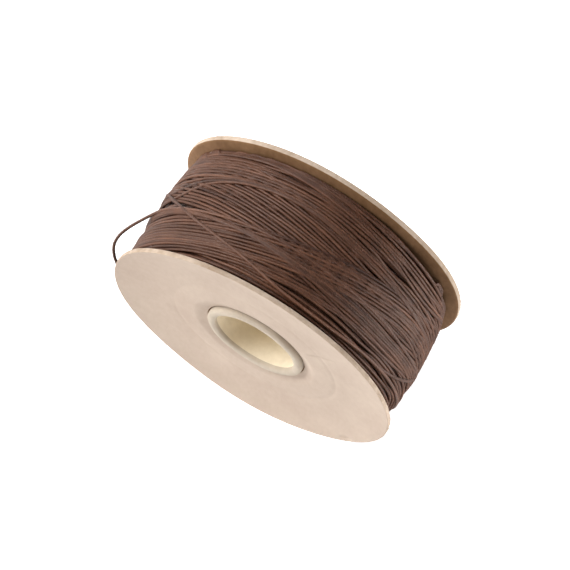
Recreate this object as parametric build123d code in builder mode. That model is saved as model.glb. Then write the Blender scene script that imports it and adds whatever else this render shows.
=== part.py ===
"""A small bobbin with paperboard sides, wound full of fine waxed thread, lying on its two rims.

Millimetres. +Y is the bore axis, from the front flange to the rear one, and +Z is up.
The origin is on the bore axis, midway between the flanges.
"""

from build123d import *
from math import cos, pi, radians, sin, tan
import os

os.makedirs("parts", exist_ok=True)

# Driving dimensions
flange_diameter = 25.4
rim_width = 11.7  # over both flanges, at their rims
hub_width = 10.4  # over both flanges, round the hub
board_thickness = 0.4
tube_length = 10.7
bore_diameter = 7.2
tube_wall = 0.78
tube_end_round = 0.3
thread_diameter = 0.3

# Flanges: flat round the hub, then pushed outwards by the thread up to the rim
flange_radius = flange_diameter / 2
flange_hole_radius = 5.3
flat_radius = 7.5
flange_flare = (rim_width - hub_width) / 2

# Core: a pale tube through both flanges, inside a brown sleeve that holds them apart
bore_radius = bore_diameter / 2
tube_radius = bore_radius + tube_wall
sleeve_radius = 5.9
sleeve_length = hub_width - 2 * board_thickness

# Winding: fullest in the middle, lowest beside the rear flange
winding_gap = 0.05
winding_radius_front = 11.85
winding_radius_middle = 12.15
winding_radius_rear = 11.3
winding_middle_y = -0.8

# Loose end: distance from the bore axis, angle up from +X towards +Z, and Y
loose_route = (
    (12.42, 144, -1.30),
    (12.40, 151, -1.30),
    (12.50, 158, -1.42),
    (12.92, 163.5, -1.98),
    (13.40, 167.5, -2.66),
    (13.79, 171.0, -3.36),
    (13.88, 174.3, -4.02),
    (13.55, 177.6, -4.54),
    (13.02, 181.5, -4.88),
    (12.50, 187.0, -5.00),
    (12.25, 194.0, -5.02),
    (12.20, 201.0, -5.02),
)


def flare_bend_radius():
    """Radius of the arc, seen in section, from the flat hub out to the rim."""
    reach = flange_radius - flat_radius
    return (reach**2 + flange_flare**2) / (2 * flange_flare)


def flare_at(radius):
    """How far the board stands outwards of the hub at this distance from the axis."""
    bend = flare_bend_radius()
    return bend - (bend**2 - (radius - flat_radius) ** 2) ** 0.5


def route_point(radius, angle, y):
    return Vector(radius * cos(radians(angle)), y, radius * sin(radians(angle)))


def corner_radii(points):
    """The largest round each corner of a route has room for."""
    radii = []
    for before, corner, after in zip(points, points[1:], points[2:]):
        turn = radians((corner - before).get_angle(after - corner))
        run = min((corner - before).length, (after - corner).length)
        radii.append(0.45 * run / tan(turn / 2))
    return radii


# Flanges
for side, name in ((-1, "front_flange"), (1, "rear_flange")):
    outer_y = side * hub_width / 2
    inner_y = side * (hub_width / 2 - board_thickness)
    rim_step = side * flange_flare
    with BuildPart() as flange:
        with BuildSketch(Plane.XY):
            with BuildLine():
                Line((flange_hole_radius, inner_y), (flange_hole_radius, outer_y))
                Line((flange_hole_radius, outer_y), (flat_radius, outer_y))
                TangentArc((flat_radius, outer_y), (flange_radius, outer_y + rim_step), tangent=(1, 0))
                Line((flange_radius, outer_y + rim_step), (flange_radius, inner_y + rim_step))
                TangentArc((flat_radius, inner_y), (flange_radius, inner_y + rim_step), tangent=(1, 0))
                Line((flat_radius, inner_y), (flange_hole_radius, inner_y))
            make_face()
        revolve(axis=Axis.Y)
    flange.part.label = name
    export_step(flange.part, f"parts/{name}.step")

# Core tube, its ends rounded over and just proud of the flanges' hubs
with BuildPart() as core_tube:
    with BuildSketch(Plane.XY) as tube_section:
        with Locations(((bore_radius + tube_radius) / 2, 0)):
            Rectangle(tube_wall, tube_length)
        fillet(tube_section.vertices(), tube_end_round)
    revolve(axis=Axis.Y)
core_tube.part.label = "core_tube"
export_step(core_tube.part, "parts/core_tube.step")

# Core sleeve, which the flanges' boards stand against
with BuildPart() as core_sleeve:
    with BuildSketch(Plane.XY):
        with Locations(((tube_radius + sleeve_radius) / 2, 0)):
            Rectangle(sleeve_radius - tube_radius, sleeve_length)
    revolve(axis=Axis.Y)
core_sleeve.part.label = "core_sleeve"
export_step(core_sleeve.part, "parts/core_sleeve.step")

# Thread winding
side_y = hub_width / 2 - board_thickness - winding_gap
front_edge = (winding_radius_front, -side_y - flare_at(winding_radius_front))
rear_edge = (winding_radius_rear, side_y + flare_at(winding_radius_rear))
with BuildPart() as thread_winding:
    with BuildSketch(Plane.XY):
        with BuildLine():
            Line((sleeve_radius, side_y), (sleeve_radius, -side_y))
            Line((sleeve_radius, -side_y), (flat_radius, -side_y))
            TangentArc((flat_radius, -side_y), front_edge, tangent=(1, 0))
            ThreePointArc(front_edge, (winding_radius_middle, winding_middle_y), rear_edge)
            TangentArc((flat_radius, side_y), rear_edge, tangent=(1, 0))
            Line((flat_radius, side_y), (sleeve_radius, side_y))
        make_face()
    revolve(axis=Axis.Y)
thread_winding.part.label = "thread_winding"
export_step(thread_winding.part, "parts/thread_winding.step")

# Loose end: springs clear of the winding, out past the rim, and tucks in behind the front flange
loose_points = [route_point(*place) for place in loose_route]
loose_radii = corner_radii(loose_points)
with BuildPart() as loose_thread:
    with BuildLine() as loose_path:
        FilletPolyline(*loose_points, radius=loose_radii)
    with BuildSketch(Plane(loose_path.line @ 0, z_dir=loose_path.line % 0)):
        Circle(thread_diameter / 2)
    sweep()
loose_thread.part.label = "loose_thread"
export_step(loose_thread.part, "parts/loose_thread.step")

loose_length = sum(edge.length for edge in loose_path.edges())
plain_volume = pi * thread_diameter**2 / 4 * loose_length
print("loose end: length", round(loose_length, 2), "radii", [round(radius, 2) for radius in loose_radii])
print("loose end: volume over section times length", round(loose_thread.part.volume / plain_volume, 4))
print("winding volume", round(thread_winding.part.volume, 1))
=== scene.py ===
"""The waxed thread bobbin's looks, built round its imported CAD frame.

The CAD frame is in metres, +Y along the bore from the front flange to the rear one, +Z up.
Lengths here are in millimetres until mm turns them into metres.
Angles round the bore are in degrees, up from +X towards +Z.
"""

import math

import bpy
import numpy as np
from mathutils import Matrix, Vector


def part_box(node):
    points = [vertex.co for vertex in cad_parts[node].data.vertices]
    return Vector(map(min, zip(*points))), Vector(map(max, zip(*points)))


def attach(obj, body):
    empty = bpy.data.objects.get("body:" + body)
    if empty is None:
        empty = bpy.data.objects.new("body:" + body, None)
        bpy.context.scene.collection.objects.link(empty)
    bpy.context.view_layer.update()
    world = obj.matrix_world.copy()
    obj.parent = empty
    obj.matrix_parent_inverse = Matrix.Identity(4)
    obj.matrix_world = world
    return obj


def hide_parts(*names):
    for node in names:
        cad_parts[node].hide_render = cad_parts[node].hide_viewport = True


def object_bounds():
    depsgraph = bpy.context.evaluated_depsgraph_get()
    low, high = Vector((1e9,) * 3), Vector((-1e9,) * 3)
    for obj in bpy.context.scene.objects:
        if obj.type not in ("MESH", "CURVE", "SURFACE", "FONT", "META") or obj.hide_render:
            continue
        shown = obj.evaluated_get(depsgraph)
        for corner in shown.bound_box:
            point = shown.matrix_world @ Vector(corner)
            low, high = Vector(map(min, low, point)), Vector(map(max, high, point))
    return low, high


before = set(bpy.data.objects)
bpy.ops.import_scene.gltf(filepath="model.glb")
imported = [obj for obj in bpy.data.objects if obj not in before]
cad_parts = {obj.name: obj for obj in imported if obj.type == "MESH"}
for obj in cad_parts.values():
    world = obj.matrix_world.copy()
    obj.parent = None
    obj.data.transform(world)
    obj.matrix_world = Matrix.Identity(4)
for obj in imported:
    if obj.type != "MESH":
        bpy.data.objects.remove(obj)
cad_low, cad_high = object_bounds()
mm = 0.001
rng = np.random.default_rng(7)

# Sizes that the frame's boxes give
rim_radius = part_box("front_flange")[1].z / mm
rim_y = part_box("rear_flange")[1].y / mm
tube_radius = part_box("core_tube")[1].z / mm
tube_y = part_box("core_tube")[1].y / mm
sleeve_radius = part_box("core_sleeve")[1].z / mm

# Sizes that part.py names
board = 0.4  # thickness of a flange
hub_y = 5.2  # outer face of a flange at its hub
flat_radius = 7.5  # a flange is flat up to here, then flares outwards
flare = rim_y - hub_y
hole_radius = 5.3
bore_radius = 3.6

# Thread
thread = 0.3
thread_radius = thread / 2
press = 0.03  # how far two waxed threads sink into each other
give = 0.45  # share of its own thickness that a turn adds where the winding is already full
headroom = 0.22  # how far the winding may swell past its barrel before that
barrel_y = (-5.5, -0.8, 3.0, 5.2)
barrel_radius = (11.8, 12.05, 11.8, 11.3)  # of the finished winding, at those Y places

# The map that the winding is laid on
samples = 240  # angles round the winding
seam = 270  # angle where each turn starts
cell = 0.02  # width of one cell
turn_share = np.arange(samples) / samples
turn_angles = seam + np.arange(samples) * 360 / samples
bridge = 3  # samples to each side over which a turn is drawn straight
slip = 2  # steps, of two cells each, that a turn may slide sideways
slip_cost = 0.3
wobble = 0.012
guide_blur = 5  # degrees

# The loose end: distance from the bore axis, angle and Y, as in part.py
loose_route = (
    (12.42, 144, -1.30),
    (12.40, 151, -1.30),
    (12.50, 158, -1.42),
    (12.92, 163.5, -1.98),
    (13.40, 167.5, -2.66),
    (13.79, 171.0, -3.36),
    (13.88, 174.3, -4.02),
    (13.55, 177.6, -4.54),
    (13.02, 181.5, -4.88),
    (12.50, 187.0, -5.00),
    (12.25, 194.0, -5.02),
    (12.20, 201.0, -5.02),
)


def flare_at(radius):
    """How far a flange's board stands outwards of its hub at this distance from the axis."""
    reach = rim_radius - flat_radius
    bend = (reach**2 + flare**2) / (2 * flare)
    out = np.clip(np.asarray(radius, float) - flat_radius, 0, reach)
    return bend - np.sqrt(bend**2 - out**2)


def side_limit(radius):
    """The furthest Y that a thread's middle reaches between the boards."""
    clearance = 0.02
    return hub_y - board - thread_radius - clearance + flare_at(radius)


# ---------------------------------------------------------------- winding


def blurred(values, times=1):
    """A closed row of values, smoothed over its neighbours."""
    blur = np.array([1, 2, 3, 4, 3, 2, 1]) / 16
    for _ in range(times):
        values = np.convolve(np.concatenate([values[-3:], values, values[:3]]), blur, "valid")
    return values


class Winder:
    """Lays thread turn by turn on a map of the winding's height over angle and Y."""

    def __init__(self, start):
        self.low = -5.8
        self.rows = int(round(-2 * self.low / cell)) + 1
        self.y_rows = self.low + np.arange(self.rows) * cell
        self.height = np.full((samples, self.rows), float(start))
        reach = int(thread_radius / cell)
        self.offsets = np.arange(-reach, reach + 1)
        self.round = np.sqrt(thread_radius**2 - (self.offsets * cell) ** 2)
        self.column = np.arange(samples)[:, None]
        self.turns = []

    def rest_on(self, y):
        """How far out a thread's middle rests at these Y places, and the rows under it."""
        row = np.rint((y - self.low) / cell).astype(int)
        rows = np.clip(row[:, None] + self.offsets, 0, self.rows - 1)
        rests = (self.height[self.column, rows] + self.round).max(1) - press
        full = np.interp(y, barrel_y, barrel_radius)
        full = full + headroom - thread_radius
        return np.where(rests > full, full + (rests - full) * give, rests), rows

    def slide(self, y, reach):
        """Lets the thread slip a little sideways off what it would stand on."""
        shifts = np.arange(-reach, reach + 1) * cell * 2
        cost = [self.rest_on(y + shift)[0] + slip_cost * abs(shift) for shift in shifts]
        return y + blurred(shifts[np.argmin(cost, axis=0)], 3)

    def lay(self, y, reach=0, keep=True):
        """One turn along Y: it rests on what is under it, drawn straight over dips."""
        if reach:
            y = self.slide(y, reach)
        for _ in range(3):
            limit = side_limit(self.rest_on(y)[0])
            y = np.clip(y, -limit, limit)
        rests, rows = self.rest_on(y)
        bridged = np.max([np.roll(rests, shift) for shift in range(-bridge, bridge + 1)], axis=0)
        radius = blurred(bridged, 2)
        limit = side_limit(radius)
        y = np.clip(y, -limit, limit)
        np.maximum.at(self.height, (self.column, rows), radius[:, None] + self.round)
        if keep:
            self.turns.append((radius, y))
        return radius, y

    def level(self):
        """The winding's middle height at each Y."""
        return np.median(self.height, axis=0)


def guide(*places):
    """A closed curve of Y over the angle, smoothed through a few (angle, Y) places."""
    places = sorted(places)
    y = np.interp(turn_angles % 360, [a for a, _ in places], [v for _, v in places], period=360)
    wave = np.fft.rfft(y)
    wave *= np.exp(-0.5 * (np.arange(len(wave)) * math.radians(guide_blur)) ** 2)
    return np.fft.irfft(wave, samples)


def shifted(places, by):
    """The guide through these places, moved along Y."""
    return guide(*[(angle, y + by) for angle, y in places])


def wander(size, waves=5):
    """A slow closed random wobble, one value for each angle."""
    k = np.arange(1, waves + 1)
    phase = rng.uniform(0, 2 * math.pi, waves)
    weight = rng.normal(0, 1, waves) / k
    angles = np.arange(samples) * 2 * math.pi / samples
    return size * (np.cos(angles[:, None] * k + phase) * weight).sum(1)


def lay_band(winder, first, last, turns):
    """Turns side by side in one run, from one guide to another."""
    for turn in range(turns):
        way = (turn + turn_share) / turns
        winder.lay(first * (1 - way) + last * way + wander(wobble), reach=slip)


def lay_change(winder, start, end):
    """One turn that crosses, soon after the seam, from one family to the next."""
    crossing_start = 0.05
    crossing_length = 0.3
    way = np.clip((turn_share - crossing_start) / crossing_length, 0, 1)
    way = way * way * (3 - 2 * way)
    winder.lay(start * (1 - way) + end * way, reach=slip)


def lay_families(winder):
    """All the outer turns but the last two; returns the guide that they end on."""
    last = None
    for first_turn, last_turn, turns in families:
        if last is not None:
            lay_change(winder, last, first_turn)
        lay_band(winder, first_turn, last_turn, turns)
        last = last_turn
    return last


def lay_layers(winder, wanted):
    """Hidden layers, laid to and fro until the winding is as high as wanted over Y."""
    pitch = 0.305
    skip = 1.4  # pitch over places that are already high enough
    most_idle = 12  # turns in a row that find nothing low before it stops
    most_turns = 760
    y = -4.5
    way = 1
    idle = 0
    while idle < most_idle and len(winder.turns) < most_turns:
        level = winder.level()
        here = np.searchsorted(winder.y_rows, y)
        low = level[here] < wanted[here] and abs(y) < hub_y - 2 * board
        idle = 0 if low else idle + 1
        step = way * (pitch if low else skip)
        limit = float(side_limit(level[here]))
        if abs(y + step) > limit:
            way = -way
            step = way * pitch
        winder.lay(np.clip(y + step * turn_share, -limit, limit))
        y = float(np.clip(y + step, -limit, limit))


# Lines that the outer turns follow, as (angle, Y) places
eye_line = (
    (200, 0.1), (170, 0.3), (150, -0.2), (140, -0.45), (130, -0.75), (120, -1.05), (108, -1.5),
    (100, -1.8), (90, -2.2), (80, -2.6), (70, -3.0), (62, -3.3), (50, -3.45), (30, -3.4),
    (20, -3.0), (0, -2.1), (330, -1.6), (290, -1.8), (240, -1.0),
)
rise_line = (
    (200, -2.0), (170, -2.2), (150, -2.1), (120, -1.6), (100, -1.0), (87, -0.5), (75, 0.0),
    (62, 0.6), (52, 1.0), (40, 1.5), (30, 1.8), (15, 2.1), (0, 2.2), (340, 1.8), (300, 0.5),
    (240, -1.2),
)
rear_edge = guide(
    (170, 2.0), (150, 2.15), (130, 2.3), (115, 2.45), (96, 2.55), (82, 2.4), (65, 1.9), (55, 1.6),
    (35, 1.3), (20, 1.2), (0, 1.3), (330, 1.6), (290, 2.0), (220, 2.0),
)
boundary = guide(
    (166, -0.6), (158, -0.65), (148, -0.55), (144, -0.4), (140, 0.2), (135, 0.9), (130, 1.4),
    (124, 1.8), (115, 2.15), (96, 2.4), (82, 2.2), (65, 1.6), (45, 1.3), (35, 1.1), (20, 1.0),
    (8, 0.9), (0, 1.1), (300, 1.2), (220, 0.8),
)

# Families of parallel turns: first guide, last guide, number of turns
front_flat = (
    guide((170, -5.2), (40, -5.2), (20, -5.0), (0, -4.7), (320, -4.9), (230, -5.2)),
    guide((170, -3.2), (60, -3.2), (40, -3.3), (20, -3.1), (0, -2.8), (320, -3.0), (230, -3.2)),
    7,
)
front_rise = (
    guide((170, -5.3), (150, -5.2), (60, -3.4), (30, -3.0), (0, -2.6), (320, -3.4), (230, -5.3)),
    guide((170, -1.6), (150, -1.6), (130, -1.35), (60, 0.2), (30, 0.6), (0, 1.0), (320, 0.2),
          (230, -1.5)),
    12,
)
eye_fall = (shifted(eye_line, 5.1), shifted(eye_line, 0), 17)
eye_rise = (shifted(rise_line, -2.4), shifted(rise_line, 0), 8)
middle_flat = (
    guide((170, -1.8), (150, -1.7), (120, -1.6), (100, -1.8), (75, -2.5), (40, -2.7), (0, -1.9),
          (300, -1.6), (220, -1.6)),
    guide((170, -1.3), (150, -1.25), (120, -1.5), (90, -1.65), (70, -1.8), (40, -1.8), (25, -1.7),
          (0, -0.9), (300, -0.5), (220, -0.8)),
    4,
)
rear_flat = (guide((170, 5.15), (90, 5.15), (0, 5.15), (230, 5.15)), rear_edge, 10)
rear_lip = (rear_edge, boundary, 3)
rear_fall = (
    guide((150, 5.2), (110, 5.2), (60, 5.2), (20, 5.1), (0, 5.0), (300, 5.1)),
    guide((170, 5.0), (150, 4.9), (110, 4.6), (88, 4.2), (70, 3.6), (55, 3.0), (40, 2.4),
          (28, 2.2), (10, 3.0), (0, 3.9), (300, 4.4)),
    7,
)
# The later ones lie on top
families = (
    front_flat, front_rise, eye_fall, eye_rise, middle_flat, rear_flat, rear_lip, rear_fall,
)

# The last two turns: the end lies along the middle line, tucked under the turn before it
tucked_y = guide(
    (160, -1.3), (144, -1.3), (135, -1.2), (125, -1.25), (110, -1.1), (90, -1.1), (70, -1.25),
    (40, -1.3), (25, -1.4), (15, -1.2), (0, -0.8), (300, -0.6), (220, 0.6),
)
over_y = guide(
    (166, 1.3), (155, 0.5), (148, -0.2), (140, -0.8), (130, -1.7), (120, -2.4), (110, -3.0),
    (100, -3.5), (90, -4.1), (80, -4.6), (60, -4.7), (0, -3.5), (300, -2.0), (240, 0.0),
    (200, 1.2),
)

# A trial of the outer turns on a plain drum tells how high the hidden layers may come
drum_radius = 11
trial_gap = 0.05
trial = Winder(drum_radius)
lay_families(trial)
added = np.percentile(trial.height, 50, axis=0) - drum_radius
finished = np.interp(trial.y_rows, barrel_y, barrel_radius)

winder = Winder(sleeve_radius)
lay_layers(winder, finished - added - trial_gap)
hidden_turns = len(winder.turns)
last_y = lay_families(winder)
tucked_turn = winder.lay(tucked_y, keep=False)
lay_change(winder, last_y, over_y)
over_turn = winder.lay(over_y, keep=False)


# ---------------------------------------------------------------- route


def place(radius, angle, y):
    """Points in metres from distance from the bore axis, angle in degrees and Y."""
    angle = np.radians(angle)
    return np.stack([radius * np.cos(angle), y + 0 * angle, radius * np.sin(angle)], -1) * mm


def route_of(turns, step):
    """Spline points of following turns, standing off by what the spline cuts inside them."""
    radius = np.concatenate([r for r, _ in turns])
    y = np.concatenate([y for _, y in turns])
    angle = np.concatenate([turn_angles for _ in turns])
    stand_off = 1 / math.cos(math.pi * step / samples)
    return place(radius * stand_off, angle, y)[::step]


def nurbs_line(points, steps):
    """The points that a smooth spline gives for these control points."""
    curve = bpy.data.curves.new("thread_route", "CURVE")
    curve.dimensions = "3D"
    curve.resolution_u = steps
    spline = curve.splines.new("NURBS")
    spline.points.add(len(points) - 1)
    flat = np.ones((len(points), 4), np.float32)
    flat[:, :3] = points
    spline.points.foreach_set("co", flat.ravel())
    spline.order_u = 3
    spline.use_endpoint_u = True
    holder = bpy.data.objects.new("thread_route", curve)
    bpy.context.scene.collection.objects.link(holder)
    mesh = bpy.data.meshes.new_from_object(holder)
    line = np.zeros(len(mesh.vertices) * 3)
    mesh.vertices.foreach_get("co", line)
    bpy.data.objects.remove(holder)
    bpy.data.meshes.remove(mesh)
    return line.reshape(-1, 3)


def cord_points(start):
    """Control points of the last two turns and the loose end, from where the outer turns end."""
    loose = np.array(loose_route, float)
    before_end = turn_angles - 360 < loose[0, 1] - 3
    tucked = place(tucked_turn[0], turn_angles, tucked_turn[1])[before_end]
    end = place(loose[:, 0], loose[:, 1], loose[:, 2])
    return np.concatenate([start, route_of([over_turn], 1), tucked, end])


hidden_step = 12  # hidden turns keep 20 spline points each, outer ones all 240
hidden_route = route_of(winder.turns[:hidden_turns], hidden_step)
outer_turns = route_of(winder.turns[hidden_turns:], 1)
outer_route = np.concatenate([hidden_route[-1:], outer_turns])
hidden_line = nurbs_line(hidden_route, 1)
outer_line = nurbs_line(outer_route, 3)
cord_line = nurbs_line(cord_points(outer_route[-1:]), 12)


# ---------------------------------------------------------------- meshes


def mesh_object(name, vertices, faces, uv=None):
    """A smooth mesh from arrays of vertices and faces, with a UV for each face corner."""
    mesh = bpy.data.meshes.new(name)
    mesh.vertices.add(len(vertices))
    mesh.vertices.foreach_set("co", np.asarray(vertices, np.float32).ravel())
    sides = faces.shape[1]
    mesh.loops.add(faces.size)
    mesh.loops.foreach_set("vertex_index", faces.astype(np.int32).ravel())
    mesh.polygons.add(len(faces))
    mesh.polygons.foreach_set("loop_start", np.arange(len(faces), dtype=np.int32) * sides)
    mesh.polygons.foreach_set("use_smooth", np.full(len(faces), True))
    if uv is not None:
        layer = mesh.uv_layers.new(name="along")
        layer.data.foreach_set("uv", np.asarray(uv, np.float32).ravel())
    mesh.update()
    mesh.validate()
    made = bpy.data.objects.new(name, mesh)
    bpy.context.scene.collection.objects.link(made)
    return made


def tube_uv(along, sides):
    """UV of each face corner of a tube: u in millimetres along it, v once round it."""
    level = np.zeros(sides)
    u0 = along[:-1, None] + level
    u1 = along[1:, None] + level
    v0 = np.broadcast_to(np.arange(sides) / sides, u0.shape)
    v1 = v0 + 1 / sides
    corners = ((u0, v0), (u0, v1), (u1, v1), (u1, v0))
    return np.stack([np.stack(corner, -1) for corner in corners], 2).reshape(-1, 2)


def tube_faces(count, sides):
    """Quads between the rings of a tube with this many rings."""
    ring = np.arange(count - 1)[:, None] * sides
    first = ring + np.arange(sides)
    second = ring + (np.arange(sides) + 1) % sides
    return np.stack([first, second, second + sides, first + sides], -1).reshape(-1, 4)


def twisted_tube(name, line, sides, plies):
    """A thread along a line: plies is the depth of the grooves between its three plies."""
    pitch = 0.95
    size = np.linalg.norm(np.diff(line, axis=0), axis=1)
    along = np.concatenate([[0], np.cumsum(size)]) / mm
    tangent = np.gradient(line, axis=0)
    tangent /= np.linalg.norm(tangent, axis=1)[:, None]
    out = line * (1, 0, 1)
    out -= (out * tangent).sum(1)[:, None] * tangent
    out /= np.linalg.norm(out, axis=1)[:, None]
    across = np.cross(tangent, out)
    turn = 2 * math.pi * along / pitch if plies else 0 * along
    around = 2 * math.pi * np.arange(sides) / sides
    angle = around[None, :] + turn[:, None]
    swell = 1 - plies * (0.5 - 0.5 * np.cos(3 * around))
    radius = thread_radius * mm * swell[None, :, None]
    ring = np.cos(angle)[..., None] * out[:, None] + np.sin(angle)[..., None] * across[:, None]
    vertices = (line[:, None] + radius * ring).reshape(-1, 3)
    return mesh_object(name, vertices, tube_faces(len(line), sides), tube_uv(along, sides))


# ---------------------------------------------------------------- materials


def shaded(name, roughness, specular=0.5):
    """A material, its node tree and its shader."""
    made = bpy.data.materials.new(name)
    made.use_nodes = True
    tree = made.node_tree
    shader = tree.nodes["Principled BSDF"]
    shader.inputs["Roughness"].default_value = roughness
    shader.inputs["Specular IOR Level"].default_value = specular
    return made, tree, shader


def noise(tree, scale, detail, where, stretch=(1, 1, 1)):
    """A noise texture; where is the coordinate output it reads."""
    spread = tree.nodes.new("ShaderNodeMapping")
    spread.inputs["Scale"].default_value = stretch
    tree.links.new(where, spread.inputs["Vector"])
    made = tree.nodes.new("ShaderNodeTexNoise")
    made.inputs["Scale"].default_value = scale
    made.inputs["Detail"].default_value = detail
    tree.links.new(spread.outputs["Vector"], made.inputs["Vector"])
    return made.outputs["Fac"]


def ramp(tree, value, low, high, dark, light):
    """Colours between two ends of a value."""
    made = tree.nodes.new("ShaderNodeValToRGB")
    made.color_ramp.elements[0].position = low
    made.color_ramp.elements[0].color = (*dark, 1)
    made.color_ramp.elements[1].position = high
    made.color_ramp.elements[1].color = (*light, 1)
    tree.links.new(value, made.inputs[0])
    return made.outputs["Color"]


def mix(tree, share, first, second):
    """A value between two, by this share of the second."""
    made = tree.nodes.new("ShaderNodeMix")
    made.data_type = "FLOAT"
    made.inputs["Factor"].default_value = share
    tree.links.new(first, made.inputs["A"])
    tree.links.new(second, made.inputs["B"])
    return made.outputs["Result"]


def bump(tree, shader, value, height):
    """Relief of this height, in millimetres, from a value."""
    made = tree.nodes.new("ShaderNodeBump")
    made.inputs["Distance"].default_value = height * mm
    made.inputs["Strength"].default_value = 1.0
    tree.links.new(value, made.inputs["Height"])
    tree.links.new(made.outputs["Normal"], shader.inputs["Normal"])


def thread_material():
    """Waxed linen: fine fibres along the plies, rubbed wax, and dye that varies along it."""
    made, tree, shader = shaded("waxed_thread", 0.4, 0.42)
    where = tree.nodes.new("ShaderNodeTexCoord").outputs["Object"]
    along = tree.nodes.new("ShaderNodeUVMap")
    along.uv_map = "along"
    wax = noise(tree, 900, 3, where)
    fibres = noise(tree, 3, 2, along.outputs["UV"], (1.5, 9, 1))
    dye = noise(tree, 1, 1, along.outputs["UV"], (0.045, 0, 0))
    surface = mix(tree, 0.65, wax, fibres)
    mixed = mix(tree, 0.5, surface, dye)
    colour = ramp(tree, mixed, 0.37, 0.63, (0.052, 0.020, 0.011), (0.212, 0.093, 0.052))
    tree.links.new(colour, shader.inputs["Base Color"])
    bump(tree, shader, fibres, 0.035)
    return made


def paper_material(name, dark, light, fibre=0.012):
    """Pressed paper: a faint mottle and a soft grain; fibre is the grain's relief."""
    made, tree, shader = shaded(name, 0.85, 0.25)
    where = tree.nodes.new("ShaderNodeTexCoord").outputs["Object"]
    mottle = noise(tree, 260, 4, where)
    grain = noise(tree, 2600, 5, where, (1, 1, 0.55))
    both = mix(tree, 0.35, mottle, grain)
    colour = ramp(tree, both, 0.35, 0.65, dark, light)
    tree.links.new(colour, shader.inputs["Base Color"])
    bump(tree, shader, grain, fibre)
    return made


brown = thread_material()
cream = paper_material("cream_board", (0.455, 0.355, 0.285), (0.515, 0.415, 0.335))
# Painted shade: a flange's inner face is the same cream board, painted this brown for the
# winding's shade and the brown light it throws between the boards
inner_face_shade = paper_material("inner_face_painted_shade", (0.15, 0.075, 0.03), (0.25, 0.135, 0.065), 0.02)
cut_edge = paper_material("cut_edge", (0.36, 0.26, 0.18), (0.60, 0.48, 0.38), 0.03)
pale = paper_material("pale_paper", (0.44, 0.37, 0.29), (0.53, 0.45, 0.36))
# Painted light: the tube's inner wall is the same paper as its outside, painted lighter and khaki
# for the light that the cream boards bounce into the bore
bore = paper_material("bore_paper_painted_light", (0.72, 0.62, 0.46), (0.84, 0.74, 0.57))


# ---------------------------------------------------------------- thread pieces

groove = 0.2  # depth of the plies' grooves, as a share of the thread's radius
outer_pieces = 4


def thread_piece(name, line, sides, plies):
    made = twisted_tube(name, line, sides, plies)
    made.data.materials.append(brown)
    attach(made, "root")
    return made


def wound_thread():
    """The hidden layers, and the outer turns cut into pieces of equal length."""
    thread_piece("thread_inner", hidden_line, 4, 0.0)
    cuts = np.linspace(0, len(outer_line) - 1, outer_pieces + 1).astype(int)
    for number, (first, last) in enumerate(zip(cuts, cuts[1:])):
        line = outer_line[first : last + 1]
        made = thread_piece(f"thread_outer_{number + 1}", line, 6, groove)
        if number == 0:
            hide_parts("thread_winding")


def thread_end():
    """The last two turns and the loose end, as one piece of thread."""
    cord = thread_piece("thread_end", cord_line, 9, groove)
    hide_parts("loose_thread")


wound_thread()
thread_end()


# ---------------------------------------------------------------- boards and core

segments = 480
ring_angle = np.linspace(0, 2 * math.pi, segments, endpoint=False)[:, None]

# A flange's outer face
lip_radius = tube_radius + 0.1  # the board's inner edge, pressed in round the tube
lip_start = hole_radius + 0.35
lip_depth = 0.3
press_depth = 0.035  # the faint ring where the flare starts
press_width = 0.16
warp_size = 0.035

# Marks on the front one
crease_from = 6.0
crease_to = 9.5
crease_angle = 37.2
nick_radius = 12.4
nick_angle = -44.0
nick_arc = 12.6
nick_stretch = 2.2  # how much longer it is round the rim than along the radius


def polar_grid(radius, y):
    """Vertices of rings round the bore from (segments, rings) arrays of radius and Y."""
    points = [radius * np.cos(ring_angle), y, radius * np.sin(ring_angle)]
    return (np.stack(points, -1) * mm).reshape(-1, 3)


def ring_faces(rings, flip):
    """Quads that close a grid of rings round the bore and across its section."""
    a = np.arange(segments)[:, None] * rings + np.arange(rings)
    b = np.arange(segments)[:, None] * rings + (np.arange(rings) + 1) % rings
    c = np.roll(b, -1, axis=0)
    d = np.roll(a, -1, axis=0)
    faces = np.stack([a, b, c, d], -1).reshape(-1, 4)
    return faces[:, ::-1] if flip else faces


def waves(size, low, high):
    """A closed random line over the angle, with this many to that many waves round."""
    k = np.arange(low, high)
    phase = rng.uniform(0, 2 * math.pi, len(k))
    weight = rng.normal(0, 1, len(k)) / np.sqrt(len(k))
    return size * (np.cos(ring_angle * k + phase) * weight).sum(-1)[:, None]


def dent(distance, width):
    """A soft bell, 1 at no distance."""
    return np.exp(-0.5 * (distance / width) ** 2)


def from_angle(angle):
    """Each segment's angle from this one, in radians, the short way round."""
    return np.radians((np.degrees(ring_angle) - angle + 180) % 360 - 180)


def marked(face, y_out):
    """The front face with its crease, a groove with a low ridge beside it, and its nick."""
    off = from_angle(crease_angle) * face - 0.12 * np.sin((face - crease_from) * 0.9)
    fade_in = np.clip((face - crease_from) / 0.4, 0, 1)
    fade_out = np.clip((crease_to - face) / 0.7, 0, 1)
    inside = fade_in * fade_out
    y_out = y_out - 0.08 * dent(off, 0.1) * inside + 0.04 * dent(off - 0.25, 0.13) * inside
    near = np.hypot(from_angle(nick_angle) * nick_arc / nick_stretch, face - nick_radius)
    return y_out - 0.16 * dent(near, 0.2)


def outer_face(face, warp, side):
    """Y of a flange's outer face: flared, pressed in round the tube and where the flare starts."""
    fall = np.clip((lip_start - face) / (lip_start - lip_radius), 0, 1)
    pressed = press_depth * dent(face - flat_radius, press_width)
    pressed = pressed + lip_depth * fall * fall * (3 - 2 * fall)
    y_out = hub_y + flare_at(face) + warp * (face / rim_radius) ** 3 - pressed
    return marked(face, y_out) if side < 0 else y_out


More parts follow.
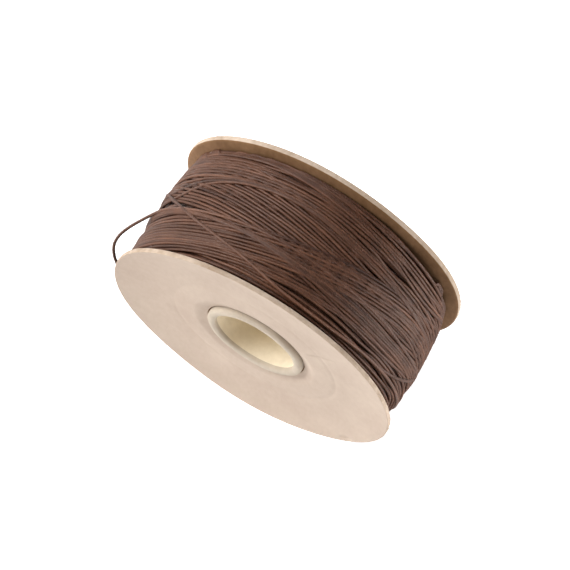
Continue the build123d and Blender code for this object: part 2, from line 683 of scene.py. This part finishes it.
def edge_radius_of(layers, rough):
    """Radius of a flange's cut edge: rounded over its thickness, with the board's layers."""
    rounded = rim_radius - 0.012 + rough - 0.03 * np.abs(2 * layers - 1) ** 3
    layered = rounded - 0.01 * (np.sin(layers * math.pi * 6) > 0)
    return np.minimum(layered, rim_radius)


def flange(name, side):
    """A pressed paperboard side: flared, a little warped, with a soft cut edge in layers."""
    face = np.linspace(lip_radius + 0.02, rim_radius - 0.06, 100)
    layers = np.linspace(0.08, 0.92, 9)
    inner = np.linspace(rim_radius - 0.05, lip_radius + 0.01, 40)
    hole_y = hub_y - board + np.array([0.03, 0.06, 0.09])
    warp = waves(warp_size, 2, 6)
    rough = waves(0.012, 40, 160)
    torn = waves(0.01, 20, 90)
    inner_y = hub_y - board + flare_at(inner) + warp * (inner / rim_radius) ** 3
    inner_y = inner_y + 0.01 * (inner < sleeve_radius)
    level = 0 * ring_angle
    radius = [level + face, edge_radius_of(layers, rough), level + inner,
              lip_radius + torn + 0 * hole_y]
    y = [outer_face(face, warp, side), hub_y + flare + warp - board * layers, inner_y,
         level + hole_y]
    radius = np.concatenate(radius, 1)
    y = np.concatenate(y, 1)
    made = mesh_object(name, polar_grid(radius, side * y), ring_faces(y.shape[1], side > 0))
    # The third skin, on the inner face, is the brown of painted shade from the winding
    for skin in (cream, cut_edge, inner_face_shade):
        made.data.materials.append(skin)
    quads = [len(face) - 1, len(layers) + 1, len(inner) - 1, len(hole_y) + 1]
    skins = np.repeat([0, 1, 2, 1], quads).astype(np.int32)
    made.data.polygons.foreach_set("material_index", np.tile(skins, segments))
    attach(made, "root")
    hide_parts(name.replace("_board", "_flange"))


def core_roll():
    """The rolled paper tube: its ends pressed over, a little uneven, the paper's turns showing."""
    end_rise = 0.32
    wall = tube_radius - bore_radius
    across = np.linspace(0, math.pi, 14)
    end_radius = bore_radius + wall / 2 - wall / 2 * np.cos(across)
    end_y = tube_y - end_rise + end_rise * np.sin(across) ** 0.8
    end_y = end_y - 0.01 + 0.012 * np.cos(across * 9)
    uneven = waves(0.03, 2, 7)
    inner_y = np.linspace(-tube_y + 0.4, tube_y - 0.4, 12)
    outer_y = inner_y[::-1]
    radius = [0 * inner_y + bore_radius, end_radius, 0 * outer_y + tube_radius, end_radius[::-1]]
    radius = np.concatenate(radius) + 0 * ring_angle
    y = np.concatenate([inner_y, end_y, outer_y, -end_y[::-1]])
    at_end = np.abs(y) > tube_y - 0.38
    y = np.clip(y + uneven * at_end * np.sign(y) * 0.8, -tube_y, tube_y)
    rings = radius.shape[1]
    made = mesh_object("core_roll", polar_grid(radius, y), ring_faces(rings, False))
    made.data.materials.append(pale)
    made.data.materials.append(bore)
    # The inner wall takes the bore paper, painted lighter as painted light in the bore; the ends
    # and outside take the pale paper
    skins = (np.arange(rings) < len(inner_y)).astype(np.int32)
    made.data.polygons.foreach_set("material_index", np.tile(skins, segments))
    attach(made, "root")
    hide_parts("core_tube")


def core_sleeve():
    """The CAD's own sleeve, which no one sees, in the painted-shade brown of the flanges' inner
    faces.
    """
    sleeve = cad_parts["core_sleeve"]
    sleeve.data.materials.clear()
    sleeve.data.materials.append(inner_face_shade)


flange("front_board", -1)
flange("rear_board", 1)
core_roll()
core_sleeve()


# ---------------------------------------------------------------- fibres


def fibres(name, roots, headings, lengths, thickness, skin, record_slot):
    """Fine loose fibres, each a short curling hair of three sides from its root."""
    vertices = []
    faces = []
    knots = 5
    curl = 0.35
    taper = 0.7
    for root, heading, length in zip(roots, headings, lengths):
        side = rng.normal(0, 1, 3)
        side -= heading * (side @ heading)
        side /= np.linalg.norm(side)
        third = np.cross(heading, side)
        first = len(vertices)
        for knot in range(knots):
            t = knot / (knots - 1)
            middle = root + heading * length * t + side * length * curl * t * t
            thin = thickness * (1 - taper * t)
            for corner in range(3):
                turn = corner * 2 * math.pi / 3
                out = math.cos(turn) * side + math.sin(turn) * third
                vertices.append((middle + thin * out) * mm)
        for knot in range(knots - 1):
            for corner in range(3):
                a = first + knot * 3 + corner
                b = first + knot * 3 + (corner + 1) % 3
                faces.append((a, b, b + 3, a + 3))
    made = mesh_object(name, np.array(vertices), np.array(faces))
    made.data.materials.append(skin)
    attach(made, "root")


def outwards(angle):
    """Directions away from the bore axis."""
    return np.stack([np.cos(angle), 0 * angle, np.sin(angle)], -1)


def roots_at(angle, radius, y):
    return outwards(angle) * radius + np.stack([0 * y, y, 0 * y], -1)


def rim_fibres():
    """Torn fibres of the cut board, thickest where the front rim is rubbed."""
    count = 240
    front_share = 0.75
    worn = rng.normal(math.radians(66), math.radians(22), count // 2)
    angle = np.concatenate([worn, rng.uniform(0, 2 * math.pi, count - count // 2)])
    side = np.where(np.arange(count) < count * front_share, -1, 1)
    y = side * (rim_y - board * rng.uniform(0.1, 0.9, count))
    roots = roots_at(angle, rim_radius - 0.03, y)
    heading = outwards(angle + rng.normal(0, 0.6, count)) + rng.normal(0, 0.5, (count, 3))
    heading /= np.linalg.norm(heading, axis=1)[:, None]
    lengths = rng.uniform(0.08, 0.34, count)
    fibres("rim_fibres", roots, heading, lengths, 0.011, cream, "cream_board")


def thread_fibres():
    """Short hairs of linen that stand off the outer turns."""
    count = 420
    angle = rng.uniform(0, 2 * math.pi, count)
    y = rng.uniform(-5.0, 4.9, count)
    column = ((np.degrees(angle) - seam) % 360 / 360 * samples).astype(int) % samples
    row = ((y - winder.low) / cell).astype(int)
    radius = winder.height[column, row] - 0.03
    roots = roots_at(angle, radius[:, None], y)
    along = outwards(angle + math.pi / 2) * rng.choice([-1, 1], count)[:, None]
    heading = outwards(angle) * 0.7 + along
    heading += rng.normal(0, 0.5, (count, 3))
    heading /= np.linalg.norm(heading, axis=1)[:, None]
    lengths = rng.uniform(0.1, 0.45, count)
    fibres("thread_fibres", roots, heading, lengths, 0.009, brown, "brown_thread")


rim_fibres()
thread_fibres()


# ---------------------------------------------------------------- floor, light and camera


def studio_floor():
    """A white floor that glows a little, so that no shadow greys it."""
    bpy.ops.mesh.primitive_plane_add(size=4.0, location=(0, 0, cad_low.z))
    floor = bpy.context.object
    floor.name = "floor"
    paint, _, shader = shaded("floor_white", 0.9)
    floor.data.materials.append(paint)
    shader.inputs["Base Color"].default_value = (0.9, 0.9, 0.9, 1)
    shader.inputs["Emission Color"].default_value = (1, 1, 1, 1)
    shader.inputs["Emission Strength"].default_value = 0.9


def studio_world():
    """White all round at the horizon and dark overhead, as round a table in a white sweep."""
    world = bpy.data.worlds.new("studio")
    world.use_nodes = True
    nodes = world.node_tree.nodes
    links = world.node_tree.links
    where = nodes.new("ShaderNodeTexCoord")
    split = nodes.new("ShaderNodeSeparateXYZ")
    links.new(where.outputs["Generated"], split.inputs[0])
    height = split.outputs["Z"]
    sky = ramp(world.node_tree, height, 0.15, 0.55, (1, 1, 1), (0.06, 0.06, 0.06))
    links.new(sky, nodes["Background"].inputs["Color"])
    nodes["Background"].inputs["Strength"].default_value = 0.75
    bpy.context.scene.world = world


def soft_box(name, spot, size, power):
    """A square area light that looks at the bobbin."""
    data = bpy.data.lights.new(name, "AREA")
    data.size = size
    data.energy = power
    made = bpy.data.objects.new(name, data)
    bpy.context.scene.collection.objects.link(made)
    made.location = spot
    made.rotation_euler = (-Vector(spot)).to_track_quat("-Z", "Y").to_euler()


def photo_camera():
    """The photo's view: from the front flange's side, to the right and well above."""
    azimuth = math.radians(30.56)
    elevation = math.radians(67.27)
    distance = 0.254
    aim = Vector((-0.391, 0.310, 0.195)) * mm
    level = math.cos(elevation)
    back = Vector((math.sin(azimuth) * level, -math.cos(azimuth) * level, math.sin(elevation)))
    lens = bpy.data.cameras.new("camera")
    lens.lens = 200
    lens.sensor_width = 36
    camera = bpy.data.objects.new("camera", lens)
    bpy.context.scene.collection.objects.link(camera)
    camera.location = aim + back * distance
    camera.rotation_euler = (-back).to_track_quat("-Z", "Y").to_euler()
    bpy.context.scene.camera = camera


studio_floor()
studio_world()
bpy.context.scene.view_settings.view_transform = "Standard"
soft_box("left_box", (-0.32, -0.1, 0.3), 0.26, 2.8)
soft_box("right_box", (0.42, 0.1, 0.0), 0.26, 2.8)
photo_camera()

bpy.context.view_layer.update()
